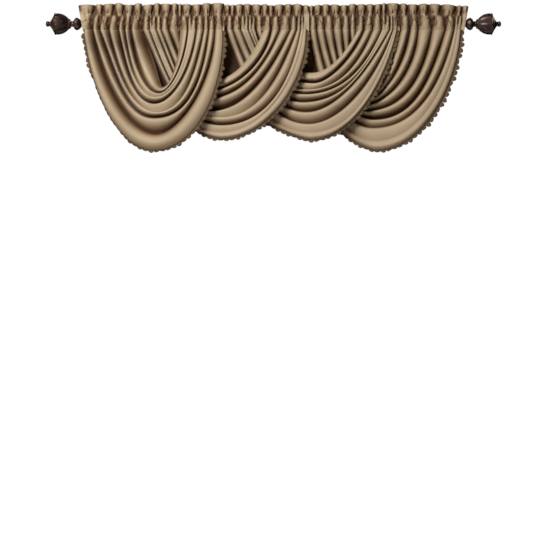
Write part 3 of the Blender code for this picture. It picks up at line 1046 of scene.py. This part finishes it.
@dataclass
class Braid:
    """The scalloped braid behind a swag's hem.

    Reach is how far a scallop stands past the hem, which is less where the
    first swag's left side hides it. Dark rim is the width over which its tone
    falls to dark at the rim and at the root, and the root width is how far
    past the hem the painted shade under the hem's edge stays full.
    """

    swag: Swag
    material: Material
    inset: float = 6.0
    reach_left: float = 15.0
    reach_tucked: float = 5.0
    reach_low: float = 12.5
    reach_right: float = 23.0
    side_share: float = 0.6
    tuck_start: float = 0.1
    tuck_start_ease: float = 0.05
    tuck_end: float = 0.42
    tuck_end_ease: float = 0.1
    notch: float = 0.4
    uneven: float = 0.3
    uneven_turns: tuple[float, float] = (2.1, 0.77)
    pitch: float = 28.0
    top_share: float = 0.9
    below_seam: float = 3.0
    behind: float = 2.4
    crown: float = 1.6
    least_crown: float = 0.6
    # Width over which the braid's tone darkens towards its rim and its root, and how far past the hem the
    # painted shade under the hem's edge stays full.
    dark_rim: float = 6.5
    shade_root: float = 1.0
    across: int = 8
    steps_a_scallop: int = 14
    hem_steps: int = 1200

    def stations(self) -> Array:
        """Space even stations along the hem, a whole number of scallops.

        Returns:
            A row of x, y, z and the reach for each station.
        """
        s = np.linspace(0.0, 1.0, self.hem_steps + 1)
        hem = self.swag.fold(0, np.zeros(1), s)[:, :3]
        drop = -hem[:, 2]
        side = smooth(np.abs(2 * s - 1) / self.side_share)
        reach = mix(self.reach_low, np.where(s < 0.5, self.reach_left, self.reach_right), side)
        tucked = smooth((s - self.tuck_start) / self.tuck_start_ease)
        tucked = tucked * smooth((self.tuck_end - s) / self.tuck_end_ease)
        reach = mix(reach, self.reach_tucked, tucked * (self.swag is SWAGS[0]))
        reach = reach * mix(self.top_share, 1.0, self.swag.below_gathers(0.0, drop))
        starts = np.where(s < 0.5, self.swag.left_trim_drop, self.below_seam)
        path = np.column_stack((hem, reach))[drop > SEAM_DROP + starts]
        steps = np.hypot(*np.diff(path[:, [0, 2]], axis=0).T)
        run = np.concatenate(([0.0], np.cumsum(steps)))
        count = round(run[-1] / self.pitch) * self.steps_a_scallop
        places = np.linspace(0.0, run[-1], count + 1)
        return np.stack([np.interp(places, run, column) for column in path.T], axis=-1)

    def build(self) -> Object:
        """Make the braid.

        Its outer edge is a row of round scallops: the reach is a share that
        follows the root of a half sine over each pitch. Its middle stands
        forward by a half sine across it.

        Returns:
            The new object.
        """
        path = self.stations()
        hem = path[:, :3]
        along = np.gradient(hem, axis=0)
        outward = np.stack((along[:, 2], np.zeros(len(hem)), -along[:, 0]), axis=-1)
        outward /= np.linalg.norm(outward, axis=1)[:, None]
        phase = np.arange(len(hem)) / self.steps_a_scallop
        fast, slow = self.uneven_turns
        uneven = 1 + self.uneven * np.sin(fast * phase) * np.sin(slow * phase + 1.0)
        scallop = mix(self.notch, uneven, np.sqrt(np.abs(np.sin(math.pi * phase))))[:, None]
        share = np.linspace(0.0, 1.0, self.across + 1)[None, :]
        edge = path[:, 3:] * scallop
        offset = mix(-self.inset, edge, share)
        crown = self.crown * np.sin(math.pi * share) * mix(self.least_crown, 1.0, scallop)
        points = hem[:, None, :] + offset[..., None] * outward[:, None, :]
        points[..., 1] += self.behind - crown
        # Painted shade along the root under the hem's edge, and darker towards the rim.
        shade_and_rim_tone = np.minimum(edge - offset, offset - self.shade_root) / self.dark_rim
        shade_and_rim_tone = np.clip(shade_and_rim_tone, 0.0, 1.0)
        node = self.swag.name.replace("swag", "trim")
        surface = Surface(node, Slot.BRAID, points, shade_and_rim_tone, BRAID_THICKNESS)
        return surface.build(self.material)


@dataclass
class SwagSheet:
    """The fine sheet of one swag."""

    swag: Swag
    material: Material
    stations: int = 200
    samples: int = 16

    def build(self, headings: Sequence[Object], braid: Object) -> Object:
        """Make the sheet.

        Args:
            headings: The swag's two heading halves, which it hangs from.
            braid: The braid on its hem; not used.

        Returns:
            The new object.
        """
        grid = self.swag.grid(self.stations, self.samples)
        # The fourth number is how hollow each point lies, which the cloth paints as shade.
        points, hollow = grid[..., :3], grid[..., 3]
        surface = Surface(self.swag.name, Slot.CLOTH, points, hollow, CLOTH_THICKNESS)
        piece = surface.build(self.material)
        width, length, area = self.swag.cut
        [heading.name for heading in headings]
        return piece


URN_RINGS = (
    (0, 0, 0), (0, 17, 0), (2, 19, 0), (6, 23.5, 0), (11, 27, 0), (16, 29.5, 0), (21, 30.5, 0),
    (26, 29, 0), (27.5, 26.5, 0), (30, 26, 0), (33, 22, 0), (35, 16, 0), (38, 14, 0),
    (43, 13.3, 0), (48, 14, 0), (50, 19, 0), (52, 23, 0), (55, 24.5, 0), (57, 23.5, 0),
    (59, 25, 1), (64, 30.5, 2.5), (70, 36, 3.2), (78, 41.5, 3.8), (86, 46, 4), (95, 49, 4),
    (104, 51, 4), (114, 52, 3.6), (120, 51.5, 2), (122, 49.5, 0), (124, 52.5, 0),
    (126.5, 53, 0), (128.5, 47, 0), (131, 42.5, 0), (137, 31, 0), (143, 21, 0),
    (148, 13.5, 0), (151, 11, 0), (154, 10.5, 0), (157, 12.5, 0), (162, 14, 0),
    (167, 12, 0), (170, 7, 0), (171, 0, 0),
)


@dataclass
class Finial:
    """An urn turned about the rod's axis, with flutes where a ring asks for them.

    A ring has its distance from the inner face, its radius and the depth of
    its flutes. Tip is the least radius, which leaves a pinhole at each end.
    """

    side: Side
    material: Material
    rings: tuple[Triple, ...] = URN_RINGS
    flutes: int = 14
    flute_power: float = 0.6
    steps: int = 168
    rows_a_ring: int = 2
    tip: float = 0.05

    def build(self) -> Object:
        """Make the finial.

        The radius is the ring's own less the flutes' depth times a power of
        the size of a cosine, which is 0 along the middle of each ridge.

        Returns:
            The new object.
        """
        table = np.array(self.rings)
        last = len(table) - 1
        places = np.linspace(0, last, last * self.rows_a_ring + 1)
        away, radius, depth = (
            np.interp(places, np.arange(last + 1), column)[:, None] for column in table.T
        )
        angle = np.linspace(0.0, 2 * math.pi, self.steps, endpoint=False)[None, :]
        hollow = np.abs(np.cos(self.flutes * angle / 2)) ** self.flute_power
        fluted = np.maximum(radius - depth * hollow, self.tip)
        sign = -1 if self.side is Side.LEFT else 1
        x = sign * (FINIAL_FACE + away) + 0 * angle
        turn = -sign * angle
        points = np.stack((x, fluted * np.cos(turn), fluted * np.sin(turn)), axis=-1)
        node = f"finial_{self.side.value}"
        return Surface(node, Slot.BRONZE, points, closed=True).build(self.material)


@dataclass
class Valance:
    """The whole valance, with a finish for each of its slots."""

    cloth: Material
    braid: Material
    bronze: Material

    def finish_rod(self) -> None:
        """Give the carried-over rod its finish."""
        node = bpy.data.objects["rod"]
        node.data.materials.clear()
        node.data.materials.append(self.bronze)
        LOG.info("rod keeps its solid, with the bronze finish")

    def build(self) -> None:
        """Give the rod its finish, then build the headings, the braids, the swags and the finials in order.
        """
        self.finish_rod()
        headings = [Heading(half, self.cloth).build() for half in HALVES]
        for index, swag in enumerate(SWAGS, start=1):
            own = [piece for piece, half in zip(headings, HALVES) if half.swag == index]
            SwagSheet(swag, self.cloth).build(own, Braid(swag, self.braid).build())
        for side in Side:
            Finial(side, self.bronze).build()


@dataclass(frozen=True)
class Lamp:
    """One soft area light that points at a target."""

    name: str
    place: Triple
    power: float
    size: float
    colour: Colour
    target: Triple = (0.0, 0.0, -0.25)

    def build(self) -> None:
        """Make the light, which doesn't show itself."""
        data = bpy.data.lights.new(self.name, "AREA")
        data.energy = self.power
        data.size = self.size
        data.color = self.colour
        lamp = bpy.data.objects.new(self.name, data)
        lamp.location = self.place
        aim = Vector(self.target) - Vector(self.place)
        lamp.rotation_euler = aim.to_track_quat("-Z", "Y").to_euler()
        lamp.visible_camera = False
        bpy.context.scene.collection.objects.link(lamp)


@dataclass
class Studio:
    """Camera, lights, white surroundings and a pale floor.

    The surroundings show in their own colour, and light the cloth only dimly
    in the warm one.
    """

    lens: float = 121.5
    camera_place: Triple = (0.0073, -9.0, -1.217)
    camera_reach: float = 60.0
    surroundings: Colour = (1.0, 1.0, 1.0)
    warm: Colour = (1.0, 0.66, 0.4)
    ambient: float = 0.05
    floor_z: float = -2.62
    floor_reach: float = 3.0
    floor_back: float = 0.2
    floor_dark: Colour = (0.86, 0.86, 0.85)
    floor_light: Colour = (0.9, 0.9, 0.89)
    floor_scale: Triple = (2.0, 2.0, 2.0)
    lamps: tuple[Lamp, ...] = (
        Lamp("key", (-3.7, -4.5, 3.3), 760.0, 3.4, (1.0, 0.985, 0.96)),
        Lamp("back", (2.5, 4.5, 2.0), 110.0, 3.0, (1.0, 0.985, 0.96)),
        Lamp("fill", (-0.5, -6.5, 0.6), 12.0, 2.0, (1.0, 0.8, 0.6)),
    )

    def camera(self) -> None:
        """Make the level camera in front of the valance."""
        data = bpy.data.cameras.new("camera")
        data.lens = self.lens
        data.clip_end = self.camera_reach
        camera = bpy.data.objects.new("camera", data)
        camera.location = self.camera_place
        camera.rotation_euler = (math.radians(90.0), 0.0, 0.0)
        bpy.context.scene.collection.objects.link(camera)
        bpy.context.scene.camera = camera

    def world(self) -> None:
        """Make surroundings that show bright and light the cloth dimly."""
        graph = Graph(bpy.data.worlds.new("surroundings"), "Background")
        graph.dress(Color=(*self.surroundings, 1.0), Strength=1.0)
        dim = graph.add("ShaderNodeBackground", Color=(*self.warm, 1.0), Strength=self.ambient)
        seen = graph.add("ShaderNodeLightPath").outputs["Is Camera Ray"]
        joined = graph.add("ShaderNodeMixShader", seen, dim.outputs[0], graph.shader.outputs[0])
        graph.fill(graph.tree.nodes["World Output"], {"Surface": joined.outputs[0]})
        bpy.context.scene.world = graph.owner

    def floor(self) -> None:
        """Lay the pale floor under the valance."""
        graph = Graph(bpy.data.materials.new("pale_floor"))
        place = graph.add("ShaderNodeTexCoord").outputs["Object"]
        clouds = graph.noise(place, self.floor_scale, 2.0)
        stops = ((0.0, self.floor_dark), (1.0, self.floor_light))
        graph.dress(Base_Color=graph.ramp(clouds, stops), Roughness=0.9)
        mesh = bpy.data.meshes.new("floor")
        side, back = self.floor_reach, self.floor_back
        corners = [(-side, -side), (side, -side), (side, back), (-side, back)]
        mesh.from_pydata([(x, y, self.floor_z) for x, y in corners], [], [(0, 1, 2, 3)])
        mesh.materials.append(graph.owner)
        floor = bpy.data.objects.new("floor", mesh)
        bpy.context.scene.collection.objects.link(floor)

    def build(self) -> None:
        """Build everything round the valance."""
        self.camera()
        self.world()
        self.floor()
        for lamp in self.lamps:
            lamp.build()
        bpy.context.scene.view_settings.view_transform = "Standard"
        LOG.info("studio built with %d lamps", len(self.lamps))


def main() -> None:
    """Build the studio and the valance."""
    logging.basicConfig(level=logging.INFO, format="%(message)s")
    Studio().build()
    Valance(ClothFinish().build(), BraidFinish().build(), BronzeFinish().build()).build()


if __name__ == "__main__":
    main()
